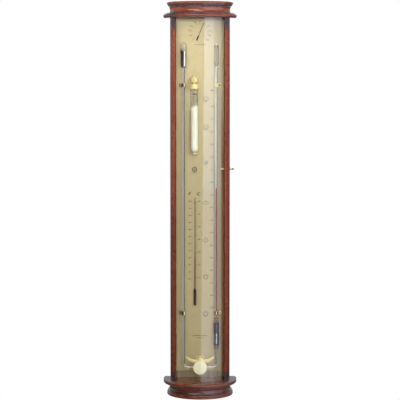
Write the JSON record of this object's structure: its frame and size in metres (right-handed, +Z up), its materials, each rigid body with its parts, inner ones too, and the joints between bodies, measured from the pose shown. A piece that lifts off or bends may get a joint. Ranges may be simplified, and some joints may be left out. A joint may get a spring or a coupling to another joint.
{
  "type": "contra barometer",
  "caption": "Wall-hung bow-fronted stick barometer with a mercury contra tube, storm glass, spirit thermometer, hygrometer and a sliding set pointer behind curved glass.",
  "frame": {"origin": "centre of the hanging hole in the brass hanger, on the wall plane at the back of the case", "axes": "+X to the viewer's right, +Y into the wall, +Z up along the case"},
  "size_m": [0.206, 0.136, 1.102],
  "materials": {
    "mahogany": "glossy red-brown lacquer, darker at the edges",
    "dowel_wood": "raw beech",
    "bow_glass": "clear curved glass",
    "tube_glass": "clear blown glass",
    "gilt_plate": "pale gilt, satin",
    "brass": "polished and lacquered",
    "mercury": "bright liquid metal",
    "red_liquid": "clear red oil",
    "spirit": "dark red spirit",
    "storm_liquid": "clear liquid",
    "crystals": "packed white crystals",
    "cream_enamel": "cream enamel",
    "felt": "dark felt",
    "steel": "turned",
    "blued_steel": "blued",
    "drum_tin": "dull",
    "coil_strip": "paper on foil",
    "cotton": "cotton wool"
  },
  "bodies": {
    "case": {"back_board": "mahogany", "left_stile": "mahogany", "right_stile": "mahogany", "back_screws": "brass", "cornice_board": "mahogany", "cornice_neck": "mahogany", "cornice_cap": "mahogany", "cornice_dowels": "dowel_wood", "base_board": "mahogany", "base_neck": "mahogany", "base_foot": "mahogany", "base_dowels": "dowel_wood", "bow_glass": "bow_glass", "hanger_plate": "brass", "hanger_screws": "brass", "scale_plate": "gilt_plate", "plate_pillars": "brass", "barometer_tube": "tube_glass", "mercury": "mercury", "red_liquid": "red_liquid", "breather_plug": "cotton", "upper_left_clip": "brass", "lower_left_clip": "brass", "upper_right_clip": "brass", "lower_right_clip": "brass", "clip_screws": "brass", "storm_glass": "tube_glass", "storm_liquid": "storm_liquid", "storm_crystals": "crystals", "storm_cap": "brass", "storm_bracket": "brass", "storm_rest": "brass", "storm_screws": "brass", "thermometer_tube": "tube_glass", "thermometer_spirit": "spirit", "thermometer_staples": "brass", "hygrometer_drum": "drum_tin", "drum_screws": "brass", "hygrometer_coil": "coil_strip", "hygrometer_bush": "brass", "gilt_bow": "brass", "bow_posts": "brass", "bow_screws": "brass", "medallion_pin": "brass"},
    "hygrometer_hand": {"hygrometer_spindle": "steel", "hygrometer_pointer": "blued_steel"},
    "set_pointer": {"marker_rod": "brass", "marker_pointer": "brass", "marker_knob": "brass", "marker_felts": "felt"},
    "medallion": {"medallion": "cream_enamel"}
  },
  "joints": [
    {"name": "hygrometer_turn", "type": "hinge", "parent": "case", "child": "hygrometer_hand", "pos_m": [0, -0.036, 0.021], "axis": [0, 1, 0], "range_deg": [-158.9, 115], "stiffness_Nm_per_rad": 0.003},
    {"name": "set_pointer_slide", "type": "slide", "parent": "case", "child": "set_pointer", "axis": [0, 0, 1], "range_m": [-0.394, 0.174]},
    {"name": "medallion_swing", "type": "hinge", "parent": "case", "child": "medallion", "pos_m": [0, -0.0532, -0.898], "axis": [0, 1, 0], "range_deg": [-17, 17]}
  ]
}
